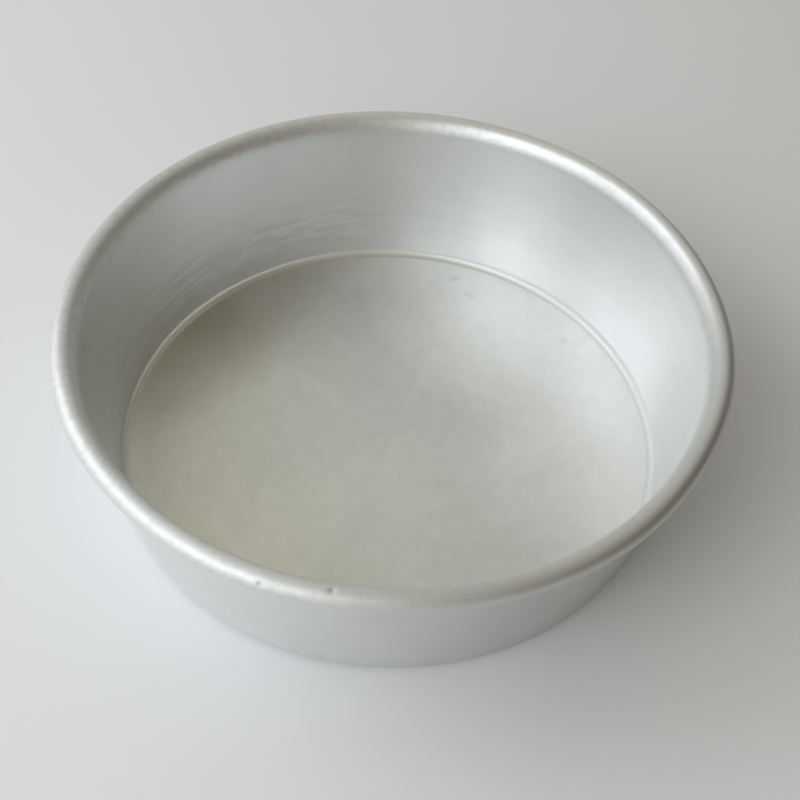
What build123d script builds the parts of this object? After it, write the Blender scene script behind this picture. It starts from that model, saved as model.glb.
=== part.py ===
"""Round cake tin: a tapered pan spun from one aluminium sheet, its edge rolled round a steel wire.

Frame: millimetres, +Z up, origin at the centre of the flat base, on its underside.
"""
from build123d import *
import os
from math import acos, asin, atan2, cos, degrees, hypot, radians, sin

# Driving dimensions

rim_diameter = 220.0  # over the rolled rim
height = 61.0  # underside of the base to the top of the rolled rim
foot_diameter = 190.0  # where the outer wall, drawn on downwards, meets the table
sheet = 1.5  # sheet thickness, the same all over
corner_radius = 2.5  # inside corner between base and wall

flare_radius = 8.5  # inside face of the sheet as it starts to lean out below the rim
flare_turn = 35.0  # degrees that the flare turns before the tight roll starts

wire_diameter = 3.6  # steel wire inside the rolled rim
wire_clearance = 0.2  # all round the wire inside the roll
wire_end_gap = 1.5  # between the two cut ends of the wire
raw_edge_gap = 0.3  # between the cut edge of the sheet and the wall below the rim

# Rolled rim, worked out from the wire and the sheet

roll_inner_radius = wire_diameter / 2 + wire_clearance
roll_outer_radius = roll_inner_radius + sheet
roll_centre_radius = rim_diameter / 2 - roll_outer_radius
roll_centre_height = height - roll_outer_radius


def wall_lean():
    """Lean of the wall from upright, in degrees, that runs it tangent into flare and foot."""
    run = roll_centre_radius - foot_diameter / 2
    reach = hypot(run, roll_centre_height)
    shift = sheet - flare_radius + (flare_radius - roll_outer_radius) * cos(radians(flare_turn))
    return degrees(atan2(run, roll_centre_height) + asin(shift / reach))


def raw_edge_turn():
    """Degrees from the wall's inward normal, going down, where the rolled sheet is cut off."""
    inner_face = flare_radius - (flare_radius - roll_outer_radius) * cos(radians(flare_turn))
    outer_face = inner_face - sheet
    return degrees(acos((outer_face - raw_edge_gap) / roll_outer_radius))


def sheet_face(depth):
    """One face of the sheet in section, from the axis out to the cut edge of the roll.

    The depth is zero on the face that food touches and the sheet's thickness on the other one.
    """
    lean = radians(wall_lean())
    tilt = lean + radians(flare_turn)

    # The flare's centre lies on the line from the roll's centre to the point that they share.
    step = flare_radius - roll_outer_radius
    flare_centre = (roll_centre_radius + step * cos(tilt), roll_centre_height - step * sin(tilt))
    flare_reach = flare_radius - depth
    flare_start = (flare_centre[0] - flare_reach * cos(lean), flare_centre[1] + flare_reach * sin(lean))

    # The corner's centre stands as far above the base as it stands in from the wall.
    corner_reach = corner_radius + depth
    corner_height = sheet + corner_radius
    rise = flare_start[1] - corner_height
    corner_centre = flare_start[0] - rise * sin(lean) / cos(lean) - corner_reach / cos(lean)

    axis_point = (0, sheet - depth)
    corner_start = (corner_centre, sheet - depth)
    base = Line(axis_point, corner_start)
    corner = JernArc(corner_start, (1, 0), corner_reach, 90 - degrees(lean))
    wall = Line(corner @ 1, flare_start)
    flare = JernArc(flare_start, wall % 1, flare_reach, -flare_turn)
    roll_turn = 360 - flare_turn - raw_edge_turn()
    roll = JernArc(flare @ 1, flare % 1, roll_outer_radius - depth, -roll_turn)
    return [base, corner, wall, flare, roll]


def make_tin_body():
    """Base, wall and rolled rim, one sheet of even thickness."""
    inside = sheet_face(0)
    outside = sheet_face(sheet)
    cut_edge = Line(inside[-1] @ 1, outside[-1] @ 1)
    axis_edge = Line(outside[0] @ 0, inside[0] @ 0)
    section = make_face([*inside, cut_edge, *outside, axis_edge])
    return revolve(Plane.XZ * section, Axis.Z)


def make_rim_wire():
    """Round wire bent to a ring, its cut ends facing each other across a small gap."""
    end_gap_angle = degrees(wire_end_gap / roll_centre_radius)
    section = Plane.XZ * Pos(roll_centre_radius, roll_centre_height) * Circle(wire_diameter / 2)
    ring = revolve(section, Axis.Z, 360 - end_gap_angle)
    return Rot(0, 0, 90 + end_gap_angle / 2) * ring


if __name__ == "__main__":
    os.makedirs("parts", exist_ok=True)
    export_step(make_tin_body(), "parts/tin_body.step")
    export_step(make_rim_wire(), "parts/rim_wire.step")
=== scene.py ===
"""A round cake tin of bare spun aluminium, its edge rolled round a wire, on a pale table by two windows."""

import random
from math import acos, asin, atan2, cos, exp, hypot, pi, radians, sin, tan
from types import SimpleNamespace

import bpy
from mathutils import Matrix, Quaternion, Vector


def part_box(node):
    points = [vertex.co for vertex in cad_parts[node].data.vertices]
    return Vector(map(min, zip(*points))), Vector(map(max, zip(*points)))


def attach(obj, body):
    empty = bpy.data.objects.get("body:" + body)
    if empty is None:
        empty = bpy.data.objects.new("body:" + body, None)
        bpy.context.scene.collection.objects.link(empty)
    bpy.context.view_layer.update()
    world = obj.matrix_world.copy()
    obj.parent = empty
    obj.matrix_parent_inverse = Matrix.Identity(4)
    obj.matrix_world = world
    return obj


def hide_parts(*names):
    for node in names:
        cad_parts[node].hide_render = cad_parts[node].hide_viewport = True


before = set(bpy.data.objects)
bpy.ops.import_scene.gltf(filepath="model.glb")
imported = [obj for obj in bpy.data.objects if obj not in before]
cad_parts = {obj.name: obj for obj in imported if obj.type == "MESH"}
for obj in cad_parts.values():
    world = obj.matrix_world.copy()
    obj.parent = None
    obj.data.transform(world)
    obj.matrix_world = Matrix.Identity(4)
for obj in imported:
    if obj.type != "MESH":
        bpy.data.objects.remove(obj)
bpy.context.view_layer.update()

MM = 0.001

# Sizes of the tin, in metres. The outer ones come from the frame.

rim_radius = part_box("tin_body")[1].x
tin_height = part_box("tin_body")[1].z
foot_radius = 95.0 * MM
sheet = 1.5 * MM
corner_radius = 2.5 * MM
flare_radius = 8.5 * MM
flare_turn = radians(35.0)
roll_radius = 3.5 * MM
raw_edge_gap = 0.3 * MM
raw_edge_rounding = 0.25 * MM
roll_centre_radius = rim_radius - roll_radius
roll_centre_height = tin_height - roll_radius

# How finely the sheet is divided: step along base, step along wall, steps round flare, steps round roll

inner_face_steps = (4.0 * MM, 0.55 * MM, 8, 44)
outer_face_steps = (8.0 * MM, 4.0 * MM, 6, 20)
corner_steps = 8
segments_round = 256
centre_dot_radius = 2.0 * MM

# What counts as smooth, as sharp and as level

smooth_below = radians(40)
sharp_above = radians(60)
level_above = 0.999  # upright part of a face's normal

# Grooves that the passes of the spinning tool left in the lower wall

groove_pitch = 2.3 * MM
groove_width = 0.55 * MM
groove_depth = 0.020 * MM
groove_reach = 36.0 * MM  # up the wall from the corner
groove_shift = 0.25  # at most, in pitches
shallowest_groove = 0.4  # of its full depth
groove_seed = 7

# Places where knocks have pushed the rim a little out of round: degrees round the axis, and outward push

knock_reach = 38.0 * MM
rim_knocks = (
    (-5, 0.20 * MM),
    (-30, -0.35 * MM),
    (-52, 0.30 * MM),
    (-88, -0.35 * MM),
    (-155, 0.20 * MM),
    (160, -0.25 * MM),
    (45, 0.20 * MM),
)

# Places where the base has risen a little: x, y, rise and how far it reaches

base_swells = (
    (74 * MM, 0, 0.40 * MM, 36 * MM),
    (-80 * MM, 46 * MM, 0.35 * MM, 38 * MM),
)

# Nicks in the rim: place, how deep, and how far each one reaches

left_nick = (-33.5 * MM, -104.0 * MM, 59.6 * MM)
right_nick = (-13.7 * MM, -106.0 * MM, 61.0 * MM)
rim_nicks = (
    (left_nick, 0.20 * MM, 1.5 * MM),
    (right_nick, 0.22 * MM, 1.6 * MM),
)
nick_patch = 2.5  # how far round a nick the faces are made finer, in reaches
nick_cuts = 4

# Dirt and smudges: place, size across and strength

rim_dirt = (
    (left_nick, 1.8 * MM, 0.35),
    (right_nick, 2.0 * MM, 0.45),
)
base_smudges = (
    ((23.4 * MM, 80.8 * MM, sheet), 4.0 * MM, 0.24),
    ((28.5 * MM, 72.0 * MM, sheet), 5.0 * MM, 0.20),
    ((64.8 * MM, 49.3 * MM, sheet), 4.5 * MM, 0.16),
)


def wall_lean():
    """Lean of the wall from upright, tangent to the flare above and the foot below."""
    run = roll_centre_radius - foot_radius
    reach = hypot(run, roll_centre_height)
    shift = sheet - flare_radius + (flare_radius - roll_radius) * cos(flare_turn)
    return atan2(run, roll_centre_height) + asin(shift / reach)


def raw_edge_turn():
    """Angle below the wall's inward normal where the rolled sheet is cut off."""
    outer_face = flare_radius - (flare_radius - roll_radius) * cos(flare_turn) - sheet
    return acos((outer_face - raw_edge_gap) / roll_radius)


def flare_centre():
    """Radius and height of the point that the flare turns about."""
    tilt = wall_lean() + flare_turn
    step = flare_radius - roll_radius
    return roll_centre_radius + step * cos(tilt), roll_centre_height - step * sin(tilt)


def wall_top(depth):
    """Radius and height where the straight wall ends and the flare begins, at a depth in the sheet."""
    lean = wall_lean()
    centre = flare_centre()
    reach = flare_radius - depth
    return centre[0] - reach * cos(lean), centre[1] + reach * sin(lean)


def wall_foot(depth):
    """Radius at which the line of the wall, at a depth in the sheet, would meet the table."""
    top = wall_top(depth)
    return top[0] - top[1] * tan(wall_lean())


def arc_points(centre, radius, start, turn, steps):
    """Points along an arc in section, the first one left out. Angles run from straight down, outwards."""
    points = []
    for step in range(1, steps + 1):
        angle = start + turn * step / steps
        points.append((centre[0] + radius * sin(angle), centre[1] - radius * cos(angle)))
    return points


def line_points(start, end, step_length):
    """Evenly spaced points along a straight line in section, the first one left out."""
    length = hypot(end[0] - start[0], end[1] - start[1])
    steps = max(1, round(length / step_length))
    points = []
    for step in range(1, steps + 1):
        share = step / steps
        points.append((start[0] + (end[0] - start[0]) * share, start[1] + (end[1] - start[1]) * share))
    return points


def grooves():
    """The grooves in the wall, each as its distance up from the corner and its depth."""
    draw = random.Random(groove_seed)
    cut = []
    place = groove_pitch
    while place < groove_reach:
        fade = sin(pi * place / groove_reach) ** 0.5
        shifted = place + draw.uniform(-groove_shift, groove_shift) * groove_pitch
        cut.append((shifted, groove_depth * fade * draw.uniform(shallowest_groove, 1.0)))
        place += groove_pitch
    return cut


def grooved(points, lean):
    """Wall points with the grooves cut into them, square to the wall."""
    cut = grooves()
    corner = points[0]
    dipped = []
    for radius, height in points:
        distance = hypot(radius - corner[0], height - corner[1])
        dip = sum(depth * exp(-((distance - place) / groove_width) ** 2) for place, depth in cut)
        dipped.append((radius + dip * cos(lean), height - dip * sin(lean)))
    return dipped


def sheet_face(depth, base_step, wall_step, flare_steps, roll_steps):
    """One face of the sheet in section, as (radius, height) from the middle out to the cut edge.

    The depth is zero on the face that food touches and the sheet's thickness on the other one.
    """
    lean = wall_lean()
    tilt = lean + flare_turn
    top = wall_top(depth)
    corner_reach = corner_radius + depth
    corner_height = sheet + corner_radius
    rise = top[1] - corner_height
    corner_centre = top[0] - rise * sin(lean) / cos(lean) - corner_reach / cos(lean)

    points = [(centre_dot_radius, sheet - depth)]
    points += line_points(points[-1], (corner_centre, sheet - depth), base_step)
    points += arc_points((corner_centre, corner_height), corner_reach, 0, pi / 2 - lean, corner_steps)
    wall = line_points(points[-1], top, wall_step)
    if depth == 0:
        wall = grooved(wall, lean)
    points += wall
    points += arc_points(flare_centre(), flare_radius - depth, -pi / 2 - lean, -flare_turn, flare_steps)
    roll_turn = 2 * pi - flare_turn - raw_edge_turn()
    roll_centre = (roll_centre_radius, roll_centre_height)
    points += arc_points(roll_centre, roll_radius - depth, -pi / 2 - tilt, -roll_turn, roll_steps)
    return points


def deselect_all():
    bpy.ops.object.select_all(action="DESELECT")


def make_tin_sheet():
    """The whole sheet in its two finishes, with the traces of its years of use."""
    tin = draw_out_sheet()
    round_cut_edge(tin)
    for azimuth, push in rim_knocks:
        outward = Vector((cos(radians(azimuth)), sin(radians(azimuth)), 0))
        knock(tin, outward * rim_radius + Vector((0, 0, roll_centre_height)), outward * push, knock_reach)
    for x, y, rise, reach in base_swells:
        knock(tin, Vector((x, y, sheet)), Vector((0, 0, rise)), reach)
    for place, depth, reach in rim_nicks:
        nick(tin, Vector(place), depth, reach)
    bpy.ops.object.shade_smooth_by_angle(angle=smooth_below)
    tin.data.materials.append(spun_aluminium())
    tin.data.materials.append(rolled_aluminium())
    for face in tin.data.polygons:
        face.material_index = int(is_base(face))
    return tin


def draw_out_sheet():
    """The sheet, drawn out ring by ring: up the inside, over the roll and back to the underside."""
    deselect_all()
    bpy.ops.mesh.primitive_circle_add(
        vertices=segments_round, radius=centre_dot_radius, fill_type="TRIFAN", location=(0, 0, sheet))
    tin = bpy.context.object
    tin.name = "tin_sheet"
    bpy.ops.object.transform_apply(location=True)
    bpy.ops.object.mode_set(mode="EDIT")
    bpy.ops.mesh.select_mode(type="EDGE")
    bpy.ops.mesh.select_all(action="DESELECT")
    bpy.ops.mesh.select_non_manifold()
    points = sheet_face(0, *inner_face_steps) + sheet_face(sheet, *outer_face_steps)[::-1]
    for (radius, height), (next_radius, next_height) in zip(points, points[1:]):
        bpy.ops.mesh.extrude_edges_move(TRANSFORM_OT_translate={"value": (0, 0, next_height - height)})
        grow = next_radius / radius
        bpy.ops.transform.resize(value=(grow, grow, 1), center_override=(0, 0, next_height))

    # The middle of the underside is still open
    bpy.ops.mesh.edge_face_add()
    bpy.ops.mesh.poke()
    bpy.ops.mesh.select_all(action="SELECT")
    bpy.ops.mesh.normals_make_consistent(inside=False)
    bpy.ops.object.mode_set(mode="OBJECT")
    return tin


def is_base(face):
    """Whether a face belongs to the flat base, above or below."""
    return abs(face.normal.z) > level_above and face.center.z < 2 * sheet


def round_cut_edge(tin):
    """Takes the sharpness off the edge of the sheet under the roll."""
    rounding = tin.modifiers.new("rounding", "BEVEL")
    rounding.width = raw_edge_rounding
    rounding.segments = 2
    rounding.limit_method = "ANGLE"
    rounding.angle_limit = sharp_above
    bpy.ops.object.modifier_apply(modifier=rounding.name)


def unselect_mesh(tin):
    for part in (tin.data.polygons, tin.data.edges, tin.data.vertices):
        part.foreach_set("select", [False] * len(part))


def knock(tin, target, push, reach):
    """Pushes the sheet at the target by a vector, and what lies round it less and less."""
    unselect_mesh(tin)
    nearest = min(tin.data.vertices, key=lambda vertex: (vertex.co - target).length)
    nearest.select = True
    bpy.ops.object.mode_set(mode="EDIT")
    bpy.ops.mesh.select_mode(type="VERT")
    bpy.ops.transform.translate(
        value=push, use_proportional_edit=True, proportional_edit_falloff="SMOOTH", proportional_size=reach)
    bpy.ops.object.mode_set(mode="OBJECT")


def nick(tin, place, depth, reach):
    """A small dent in the roll, pushed towards the wire, on faces first made finer there."""
    outward = Vector((place.x, place.y, 0)).normalized()
    wire = outward * roll_centre_radius + Vector((0, 0, roll_centre_height))
    inward = (wire - place).normalized()
    unselect_mesh(tin)
    for face in tin.data.polygons:
        if (face.center - place).length < nick_patch * reach and face.normal.dot(inward) < 0:
            face.select = True
    bpy.ops.object.mode_set(mode="EDIT")
    bpy.ops.mesh.select_mode(type="FACE")
    bpy.ops.mesh.subdivide(number_cuts=nick_cuts, smoothness=1.0)
    bpy.ops.object.mode_set(mode="OBJECT")
    knock(tin, place, inward * depth, reach)


# Shortcuts for making finishes

coarse = 0.6  # how strongly the finer parts of a gritty noise show; the plain noise has 0.5
ragged_size = 2.5 * MM
raggedness = 0.9  # how far the edge of a spot wanders, in sizes of the spot
spot_edge = (0.15, 0.6)  # distances from its middle between which a spot fades, in its sizes


def node_tools(tree):
    """Two shortcuts for a node tree: add makes a node and fills its inputs, and join only fills them."""

    def join(node, inputs):
        for key, value in inputs.items():
            socket = node.inputs[key]
            if isinstance(value, bpy.types.NodeSocket):
                tree.links.new(value, socket)
            elif socket.type == "RGBA":
                socket.default_value = (*value, 1)
            else:
                socket.default_value = value

    def add(kind, inputs=None, **settings):
        node = tree.nodes.new(kind)
        for key, value in settings.items():
            setattr(node, key, value)
        join(node, inputs or {})
        return node

    return add, join


def new_material(name):
    """A new material, its shader and the two shortcuts for its nodes."""
    material = bpy.data.materials.new(name)
    material.use_nodes = True
    add, join = node_tools(material.node_tree)
    return material, material.node_tree.nodes["Principled BSDF"], add, join


def blend(add, first, second, share):
    return add("ShaderNodeMix", {"Factor": share, "A": first, "B": second}).outputs["Result"]


def spread(add, value, low, high, start=0.3, end=0.7):
    """Carries a value between start and end over to low and high. Noise lies mostly from 0.3 to 0.7."""
    inputs = {"Value": value, "From Min": start, "From Max": end, "To Min": low, "To Max": high}
    return add("ShaderNodeMapRange", inputs).outputs[0]


def times(add, first, second):
    return add("ShaderNodeMath", {0: first, 1: second}, operation="MULTIPLY").outputs[0]


def plus(add, first, second):
    return add("ShaderNodeMath", {0: first, 1: second}).outputs[0]


def along(add, place, direction):
    """How far a place lies in a direction."""
    return add("ShaderNodeVectorMath", {0: place, 1: direction}, operation="DOT_PRODUCT").outputs["Value"]


def tint(add, share, first, second):
    """Goes from the first colour to the second as the share grows from 0 to 1."""
    inputs = {"Factor": share, "A": first, "B": second}
    return add("ShaderNodeMix", inputs, data_type="RGBA").outputs["Result"]


def uneven_tone(add, noise, tones):
    """Goes from the darker to the lighter of two tones as a noise grows."""
    return tint(add, spread(add, noise, 0, 1), *tones)


def clouds(add, place, size, detail, roughness=0.5):
    inputs = {"Vector": place, "Scale": 1 / size, "Detail": detail, "Roughness": roughness}
    return add("ShaderNodeTexNoise", inputs).outputs[0]


def stretched(add, place, x, y, z):
    return add("ShaderNodeVectorMath", {0: place, 1: (x, y, z)}, operation="MULTIPLY").outputs[0]


def bump(add, height, depth):
    return add("ShaderNodeBump", {"Height": height, "Strength": 1.0, "Distance": depth}).outputs[0]


def spots(add, place, marks):
    """A share that each mark, given as its place, size across and strength, raises. The edges are ragged."""
    noise = {"Vector": place, "Scale": 1 / ragged_size, "Detail": 3}
    ragged = add("ShaderNodeTexNoise", noise).outputs["Color"]
    middle = (0.5, 0.5, 0.5)
    shake = add("ShaderNodeVectorMath", {0: ragged, 1: middle}, operation="SUBTRACT").outputs[0]
    total = 0.0
    for centre, size, strength in marks:
        reach = {0: shake, "Scale": raggedness * size}
        moved = add("ShaderNodeVectorMath", reach, operation="SCALE").outputs[0]
        here = add("ShaderNodeVectorMath", {0: place, 1: moved}).outputs[0]
        away = add("ShaderNodeVectorMath", {0: here, 1: centre}, operation="DISTANCE").outputs["Value"]
        share = spread(add, away, strength, 0, spot_edge[0] * size, spot_edge[1] * size)
        total = plus(add, share, total)
    return total


# Tones of the wall and rim. Where there are two, the darker one comes first.

spun_tones = ((0.705, 0.715, 0.710), (0.810, 0.820, 0.815))
# painted shade for the ripples' dips, and painted highlight for their crests
ripple_shade_and_highlight_tones = ((0.61, 0.62, 0.60), (0.86, 0.87, 0.86))
# painted shade on the outside at the right front
outside_shade_tone = (0.60, 0.60, 0.59)
rim_tone = (0.66, 0.67, 0.66)
scuff_tone = (0.66, 0.66, 0.64)
dirt_tone = (0.34, 0.33, 0.31)
corner_tone = (0.84, 0.83, 0.76)
# painted shade in the crease at the foot of the back left corner
crease_shade_tone = (0.54, 0.52, 0.45)

# How strongly some of those tones show

outside_shade_strength = 0.6
rim_strength = 0.20
corner_strength = 0.5
crease_shade_strength = 0.8

# Marks that run round the axis: spacing, length and detail

fine_marks = (0.8 * MM, 40 * MM, 3)
broad_marks = (5.0 * MM, 90 * MM, 2)
ripple_marks = (1.9 * MM, 14 * MM, 2)

# Cloudy unevenness: size and detail

wall_mottle = (7 * MM, 4)
base_mottle = (5 * MM, 4)
wide_patches = (60 * MM, 4)
scuff_clouds = (2.2 * MM, 4, coarse)

# Share of the second part in each blend

broad_mark_share = 0.45
wall_mottle_share = 0.35
wall_patch_share = 0.45
base_mottle_share = 0.75
base_patch_share = 0.5

# Heights between which a change on the wall takes place

rim_starts = (53 * MM, 57 * MM)
chatter_starts = (4 * MM, 11 * MM)
chatter_ends = (20 * MM, 34 * MM)
polish_ends = (12 * MM, 36 * MM)
corner_ends = (2.5 * MM, 4.5 * MM)
crease_shade_ends = (1.8 * MM, 2.6 * MM)
face_change = 0.2 * MM  # to each side of the middle of the sheet

# Sides of the wall: the direction from the axis, and how nearly it is faced where a change starts and ends

chatter_side = ((-0.66, 0.75, 0), 0.70, 0.96)
shaded_outside_side = ((0.87, -0.50, 0), 0.2, 0.95)
corner_side = ((-0.80, 0.60, 0), 0.0, 0.8)
crease_shade_side = ((-0.80, 0.60, 0), 0.3, 0.9)
rough_corner_side = ((1, 0, 0), -0.6, 0.6)
gripped_side = ((-0.75, -0.66, 0), -0.3, 0.6)

# What noise becomes: the value at its start, the value at its end, its start and its end

ripple_dips = (0.55, 0, 0.36, 0.50)
ripple_crests = (0, 0.5, 0.50, 0.66)
scuff_wear = (0, 0.70, 0.42, 0.68)

# Roughness of the wall and rim, or what is added to it

spun_roughness = (0.41, 0.34)  # of the darker and the lighter parts
lower_wall_polish = -0.02
corner_roughness = (0.03, 0.17)  # from left to right
grip_roughness = 0.10
scuff_roughness = (0.03, 0.11)

# How metallic wall and rim are, the relief of their marks, and how the marks draw out what is reflected

spun_metallic = (0.75, 0.85)
spun_relief = 0.008 * MM
ripple_relief = 5.0  # in reliefs of the other marks
spun_stretch = 0.5
spun_stretch_turn = 0.25  # in full turns from the circles round the axis


def wall_places(add):
    """What the finish of the wall goes by: places, and shares that are 1 on inner face, rim and corner."""
    place = add("ShaderNodeTexCoord").outputs["Object"]
    axes = add("ShaderNodeSeparateXYZ", {0: place}).outputs
    height = axes["Z"]
    flat = add("ShaderNodeCombineXYZ", {"X": axes["X"], "Y": axes["Y"]}).outputs[0]
    radius = add("ShaderNodeVectorMath", {0: flat}, operation="LENGTH").outputs["Value"]
    outward = add("ShaderNodeVectorMath", {0: flat}, operation="NORMALIZE").outputs[0]

    # The inner face lies nearer to the axis than the middle of the sheet
    slope = tan(wall_lean())
    foot = add("ShaderNodeMath", {0: height, 1: -slope, 2: radius}, operation="MULTIPLY_ADD").outputs[0]
    middle = wall_foot(sheet / 2)
    inside = spread(add, foot, 1, 0, middle - face_change, middle + face_change)
    rim = spread(add, height, 0, 1, *rim_starts)
    corner = times(add, spread(add, height, 1, 0, *corner_ends), inside)
    return SimpleNamespace(
        place=place, height=height, radius=radius, outward=outward, inside=inside, rim=rim, corner=corner)


def turning_marks(add, wall, spacing, length, detail):
    """Noise drawn out along circles round the axis."""
    drawn = stretched(add, wall.place, 1 / length, 1 / length, 1 / spacing)
    across = times(add, wall.radius, 1 / spacing)
    inputs = {"Vector": drawn, "W": across, "Scale": 1.0, "Detail": detail, "Roughness": coarse}
    return add("ShaderNodeTexNoise", inputs, noise_dimensions="4D").outputs[0]


def facing(add, wall, direction, start, end, low=0.0, high=1.0):
    """Goes from low to high as the wall turns to lie in a direction from the axis."""
    return spread(add, along(add, wall.outward, direction), low, high, start, end)


def chatter(add, wall):
    """Where the spinning tool chattered, low on the back left of the inside, and the ripples it left."""
    starts = spread(add, wall.height, 0, 1, *chatter_starts)
    ends = spread(add, wall.height, 1, 0, *chatter_ends)
    side = times(add, facing(add, wall, *chatter_side), times(add, starts, ends))
    return times(add, wall.inside, side), turning_marks(add, wall, *ripple_marks)


def with_painted_ripple_light(add, metal, chattered, ripples):
    """Painted shade in the dips of the ripples and painted highlights on their crests."""
    dips = times(add, chattered, spread(add, ripples, *ripple_dips))
    crests = times(add, chattered, spread(add, ripples, *ripple_crests))
    metal = tint(add, dips, metal, ripple_shade_and_highlight_tones[0])
    return tint(add, crests, metal, ripple_shade_and_highlight_tones[1])


def with_painted_outside_shade(add, metal, wall):
    """Painted shade darkens the outside a little at the right front."""
    outside = spread(add, wall.inside, 1, 0, 0, 1)
    shaded_share = times(add, outside, facing(add, wall, *shaded_outside_side, high=outside_shade_strength))
    return tint(add, shaded_share, metal, outside_shade_tone)


def with_worn_rim(add, metal, wall, scuffs):
    """The rim is scuffed all round, and has dirt in its nicks."""
    metal = tint(add, times(add, wall.rim, rim_strength), metal, rim_tone)
    metal = tint(add, times(add, wall.rim, spread(add, scuffs, *scuff_wear)), metal, scuff_tone)
    return tint(add, spots(add, wall.place, rim_dirt), metal, dirt_tone)


def with_warm_corner_and_crease_shade(add, metal, wall):
    """The corner between base and wall is warmer at the back left, with painted shade in the crease at its
    foot.
    """
    warm = times(add, wall.corner, facing(add, wall, *corner_side, high=corner_strength))
    metal = tint(add, warm, metal, corner_tone)
    low = spread(add, wall.height, crease_shade_strength, 0, *crease_shade_ends)
    crease_shade = times(add, low, facing(add, wall, *crease_shade_side))
    return tint(add, times(add, crease_shade, wall.inside), metal, crease_shade_tone)


def wall_roughness(add, wall, uneven, scuffs):
    """Smoother low on the wall, rougher in the corner, where hands grip the rim and where it is scuffed."""
    polish = spread(add, wall.height, lower_wall_polish, 0, *polish_ends)
    satin = plus(add, spread(add, uneven, *spun_roughness), polish)
    corner = times(add, wall.corner, facing(add, wall, *rough_corner_side, *corner_roughness))
    gripped = facing(add, wall, *gripped_side, high=grip_roughness)
    worn = times(add, wall.rim, plus(add, gripped, spread(add, scuffs, *scuff_roughness)))
    return plus(add, plus(add, satin, corner), worn)


def spun_aluminium():
    """Bare satin aluminium of the wall and rim, with fine marks that run round the axis."""
    material, shader, add, join = new_material("spun aluminium")
    wall = wall_places(add)
    fine = turning_marks(add, wall, *fine_marks)
    marks = blend(add, fine, turning_marks(add, wall, *broad_marks), broad_mark_share)
    mottled = blend(add, marks, clouds(add, wall.place, *wall_mottle), wall_mottle_share)
    uneven = blend(add, mottled, clouds(add, wall.place, *wide_patches), wall_patch_share)
    scuffs = clouds(add, wall.place, *scuff_clouds)
    chattered, ripples = chatter(add, wall)

    metal = uneven_tone(add, uneven, spun_tones)
    metal = with_painted_ripple_light(add, metal, chattered, ripples)
    metal = with_painted_outside_shade(add, metal, wall)
    metal = with_worn_rim(add, metal, wall, scuffs)
    metal = with_warm_corner_and_crease_shade(add, metal, wall)

    rippled = times(add, chattered, times(add, ripples, ripple_relief))
    relief = plus(add, marks, plus(add, rippled, times(add, wall.rim, scuffs)))
    join(shader, {
        "Base Color": metal,
        "Roughness": wall_roughness(add, wall, uneven, scuffs),
        "Metallic": spread(add, wall.rim, *spun_metallic, 0, 1),
        "Normal": bump(add, relief, spun_relief),
        "Tangent": add("ShaderNodeTangent", direction_type="RADIAL", axis="Z").outputs[0],
        "Anisotropic": spun_stretch,
        "Anisotropic Rotation": spun_stretch_turn,
    })
    return material


# Finish of the base

base_tones = ((0.655, 0.663, 0.656), (0.775, 0.783, 0.777))
smudge_tone = (0.50, 0.50, 0.48)
base_roughness = (0.43, 0.33)  # of the darker and the lighter parts
base_metallic = 0.75
base_relief = 0.004 * MM
grain_width = 0.5 * MM
grain_length = 30 * MM
grain_detail = 3
wander_reach = 14 * MM  # how far the edges of what changes across the base wander

# What changes across the base: direction, distances between which it does, and the two tones there

# painted light: the back right of the base is lighter, as where the window light falls fully
painted_light_back_right = ((0.86, 0.51, 0), 14 * MM, 62 * MM, ((0.855, 0.872, 0.883), (0.950, 0.967, 0.978)))
brown_film = ((-0.85, -0.53, 0), 5 * MM, 75 * MM, ((0.755, 0.747, 0.684), (0.860, 0.852, 0.785)))
# painted shade: the back left of the base by the wall is dark and brownish, as where the left wall shades it
brown_painted_shade_back_left = ((-0.80, 0.60, 0), 58 * MM, 102 * MM, ((0.48, 0.45, 0.37), (0.48, 0.45, 0.37)))


def rolled_aluminium():
    """The base: it stays as the sheet was rolled, with a faint straight grain and no turning marks."""
    material, shader, add, join = new_material("rolled aluminium")
    place = add("ShaderNodeTexCoord").outputs["Object"]
    drawn = stretched(add, place, 1 / grain_width, 1 / grain_length, 0)
    grain = clouds(add, drawn, size=1.0, detail=grain_detail)
    fine = blend(add, grain, clouds(add, place, *base_mottle), base_mottle_share)
    patches = clouds(add, place, *wide_patches)
    uneven = blend(add, fine, patches, base_patch_share)
    metal = uneven_tone(add, uneven, base_tones)

    # Painted light brightens the back right, baking has left a thin brownish film at the left, and a
    # brownish painted shade darkens the back left by the wall
    wander = spread(add, patches, -wander_reach, wander_reach)
    for direction, start, end, tones in (painted_light_back_right, brown_film, brown_painted_shade_back_left):
        reach = plus(add, along(add, place, direction), wander)
        metal = tint(add, spread(add, reach, 0, 1, start, end), metal, uneven_tone(add, uneven, tones))
    metal = tint(add, spots(add, place, base_smudges), metal, smudge_tone)
    join(shader, {
        "Base Color": metal,
        "Roughness": spread(add, uneven, *base_roughness),
        "Metallic": base_metallic,
        "Normal": bump(add, fine, base_relief),
    })
    return material


# Finishes of the wire, the table and the card: tones, roughness, and the size and detail of what is uneven

wire_tones = ((0.40, 0.41, 0.43), (0.52, 0.53, 0.55))
wire_roughness = (0.38, 0.52)
wire_patches = (6 * MM, 3)
wire_pits = (0.6 * MM, 2)
wire_pit_depth = 0.01 * MM
table_tones = ((0.785, 0.788, 0.812), (0.810, 0.813, 0.836))
table_roughness = (0.50, 0.60)
table_patches = (250 * MM, 3)
table_wear = (30 * MM, 3)
card_tone = (0.07, 0.05, 0.03)
card_roughness = 0.9


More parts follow.
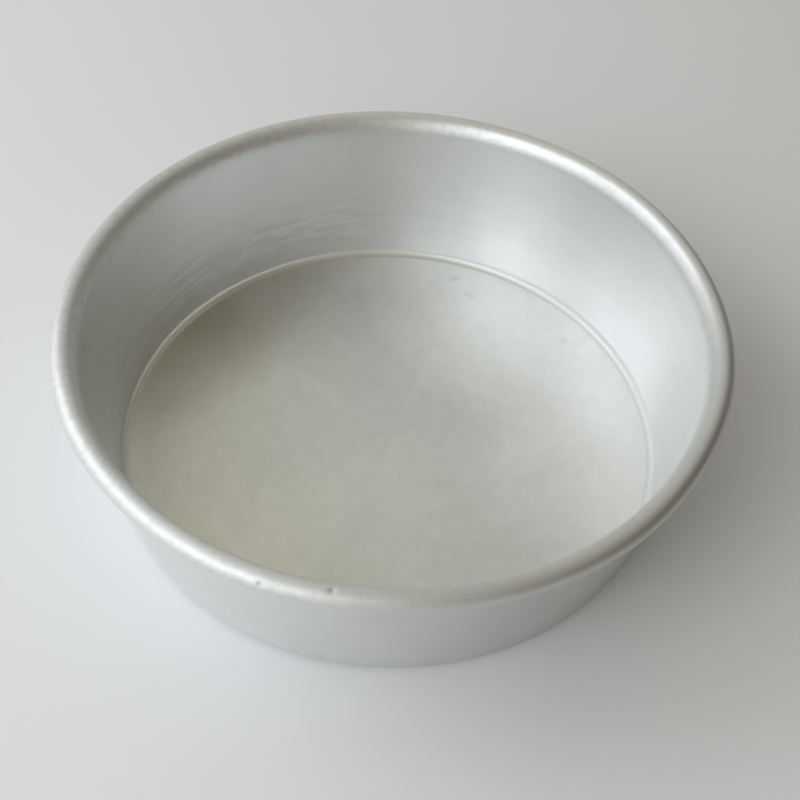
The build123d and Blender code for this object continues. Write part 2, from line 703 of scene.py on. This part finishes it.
def galvanised_steel():
    """Dull zinc-coated wire, cloudy and a little pitted."""
    material, shader, add, join = new_material("galvanised steel")
    place = add("ShaderNodeTexCoord").outputs["Object"]
    patches = clouds(add, place, *wire_patches)
    join(shader, {
        "Base Color": uneven_tone(add, patches, wire_tones),
        "Roughness": spread(add, patches, *wire_roughness),
        "Metallic": 1.0,
        "Normal": bump(add, clouds(add, place, *wire_pits), wire_pit_depth),
    })
    return material


def white_table():
    """Smooth pale table top, very slightly uneven in tone."""
    material, shader, add, join = new_material("white table")
    place = add("ShaderNodeTexCoord").outputs["Object"]
    join(shader, {
        "Base Color": uneven_tone(add, clouds(add, place, *table_patches), table_tones),
        "Roughness": spread(add, clouds(add, place, *table_wear), *table_roughness),
    })
    return material


def dark_card():
    """Matt dark brown."""
    material, shader, add, join = new_material("dark card")
    join(shader, {"Base Color": card_tone, "Roughness": card_roughness})
    return material


# Camera, from the rim's and foot's outlines in the photograph

camera_distance = 473.4 * MM
camera_elevation = radians(50.40)
camera_aim = Vector((3.1 * MM, 0, 19.1 * MM))
camera_roll = radians(3.08)
camera_lens = 59.44  # in millimetres, as Blender takes it
camera_sensor_width = 36  # in millimetres too
camera_nearest = 10 * MM


def add_camera():
    data = bpy.data.cameras.new("camera")
    data.lens = camera_lens
    data.sensor_width = camera_sensor_width
    data.clip_start = camera_nearest
    camera = bpy.data.objects.new("camera", data)
    bpy.context.scene.collection.objects.link(camera)
    place = Vector((0, -camera_distance * cos(camera_elevation), camera_distance * sin(camera_elevation)))
    camera.location = place
    camera.rotation_mode = "QUATERNION"
    look = (camera_aim - place).to_track_quat("-Z", "Y")
    camera.rotation_quaternion = look @ Quaternion((0, 0, 1), camera_roll)
    bpy.context.scene.camera = camera


# Sizes of the table and the card, in metres

table_radius = 8.0
table_segments = 96
card_width = 1.10
card_height = 0.34
card_place = (0.38, 0.05, 0.06)  # the middle of its lower edge


def add_table():
    deselect_all()
    bpy.ops.mesh.primitive_circle_add(vertices=table_segments, radius=table_radius, fill_type="NGON")
    table = bpy.context.object
    table.name = "table_top"
    table.data.materials.append(white_table())


def add_dark_card():
    """A dark card at the right, out of the picture, that the metal shows as the dark side of the room."""
    deselect_all()
    bpy.ops.mesh.primitive_plane_add(size=1.0)
    card = bpy.context.object
    card.name = "card_right"
    card.scale = (card_width, card_height, 1)
    card.rotation_euler = (pi / 2, 0, pi / 2)
    card.location = Vector(card_place) + Vector((0, 0, card_height / 2))
    bpy.ops.object.transform_apply(location=True, rotation=True, scale=True)
    card.data.materials.append(dark_card())
    card.visible_camera = False


# Two windows, and the paler walls beside and under them: place, width, height, brightness and colour

soft_lamps = {
    "window_left": ((-0.90, 0.25, 0.85), 0.85, 0.55, 1.65, (0.87, 0.92, 1.0)),
    "window_corner": ((-0.80, -0.72, 0.95), 0.70, 0.70, 2.05, (0.86, 0.96, 1.0)),
    "left_fill": ((-0.95, -0.05, 0.50), 1.70, 0.80, 0.88, (0.88, 0.90, 1.0)),
    "front_fill": ((-0.42, -0.90, 0.50), 0.80, 0.80, 1.15, (0.90, 0.95, 1.0)),
}


def add_lamp(name, place, width, height, brightness, colour):
    """A soft lamp that faces the tin. Seen in a mirror, a brightness of 1 is white."""
    data = bpy.data.lights.new(name, "AREA")
    data.shape = "RECTANGLE"
    data.size = width
    data.size_y = height
    data.color = colour
    data.energy = brightness * pi * width * height
    lamp = bpy.data.objects.new(name, data)
    bpy.context.scene.collection.objects.link(lamp)
    lamp.location = place
    lamp.rotation_mode = "QUATERNION"
    lamp.rotation_quaternion = (Vector((0, 0, tin_height / 2)) - lamp.location).to_track_quat("-Z", "Y")


# The rest of the room, pale to the left, the back and above: light from each direction, and from everywhere

room_light = (
    ((-1, 0, 0), (0.40, 0.41, 0.37)),
    ((0, 1, 0), (0.37, 0.39, 0.38)),
    ((0, -1, 0), (0.15, 0.14, 0.13)),
    ((0, 0, 1), (0.35, 0.33, 0.27)),
)
least_light = (0.020, 0.015, 0.010)


def set_room():
    """Light that grows from each direction as one looks more nearly that way."""
    room = bpy.data.worlds.new("room")
    bpy.context.scene.world = room
    room.use_nodes = True
    add, join = node_tools(room.node_tree)
    looking = add("ShaderNodeTexCoord").outputs["Generated"]
    total = least_light
    for direction, colour in room_light:
        share = spread(add, along(add, looking, direction), 0, 1, 0, 1)
        glow = add("ShaderNodeVectorMath", {0: colour, "Scale": share}, operation="SCALE").outputs[0]
        total = add("ShaderNodeVectorMath", {0: total, 1: glow}).outputs[0]
    join(room.node_tree.nodes["Background"], {"Color": total})


tin_sheet = make_tin_sheet()
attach(tin_sheet, "root")
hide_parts("tin_body")

rim_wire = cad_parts["rim_wire"]
rim_wire.data.materials.clear()
rim_wire.data.materials.append(galvanised_steel())

add_table()
add_dark_card()
add_camera()
for lamp_name, lamp_facts in soft_lamps.items():
    add_lamp(lamp_name, *lamp_facts)
set_room()
bpy.context.scene.view_settings.view_transform = "Standard"
